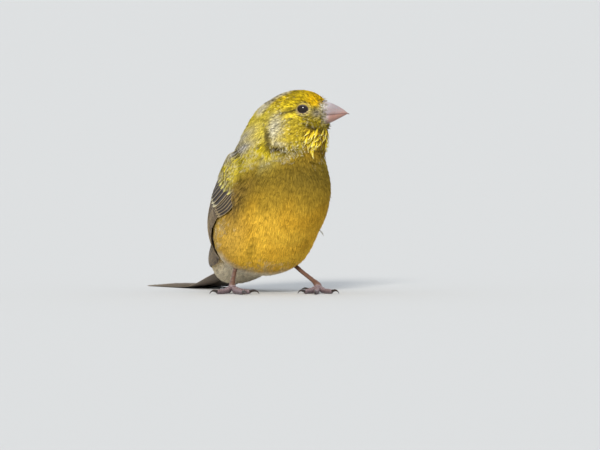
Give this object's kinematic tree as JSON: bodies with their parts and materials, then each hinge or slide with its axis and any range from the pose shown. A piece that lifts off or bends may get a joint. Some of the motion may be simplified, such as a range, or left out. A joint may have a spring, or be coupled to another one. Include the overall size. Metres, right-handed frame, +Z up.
{
  "type": "canary",
  "caption": "Life-size still model of a wild-type canary standing upright, head turned to its left, folded wings, tail laid on the floor.",
  "frame": {"origin": "on the floor, under the middle of the bird's bounding box", "axes": "+Z up, the bird faces -Y, its tail runs out along +Y, and its own right side is -X"},
  "size_m": [0.046, 0.1004, 0.0703],
  "materials": {
    "plumage_yellow": "soft golden-yellow contour feathers with olive streaks",
    "plumage_crown": "short lemon to olive-yellow head feathers",
    "plumage_olive": "olive and grey-edged neck feathers",
    "wing_feathers": "dark brown vanes with buff and yellow fringes, slight sheen",
    "tail_feathers": "brown-grey vanes with pale edges, slight sheen",
    "horn": "pinkish horn, satin",
    "scutes": "purplish brown scaly skin, paler between the scutes",
    "claws": "dark horn, satin",
    "eyes": "wet black-brown gloss"
  },
  "bodies": {
    "root": {"head": "plumage_crown", "neck": "plumage_olive", "trunk": "plumage_yellow", "thigh_right": "plumage_yellow", "thigh_left": "plumage_yellow", "wing_right": "wing_feathers", "wing_left": "wing_feathers", "tail": "tail_feathers", "bill_upper": "horn", "bill_lower": "horn", "eye_right": "eyes", "eye_left": "eyes", "tarsus_right": "scutes", "tarsus_left": "scutes", "toe_right_middle": "scutes", "toe_right_inner": "scutes", "toe_right_outer": "scutes", "toe_right_hind": "scutes", "toe_left_middle": "scutes", "toe_left_inner": "scutes", "toe_left_outer": "scutes", "toe_left_hind": "scutes", "claw_right_middle": "claws", "claw_right_inner": "claws", "claw_right_outer": "claws", "claw_right_hind": "claws", "claw_left_middle": "claws", "claw_left_inner": "claws", "claw_left_outer": "claws", "claw_left_hind": "claws"}
  },
  "joints": []
}
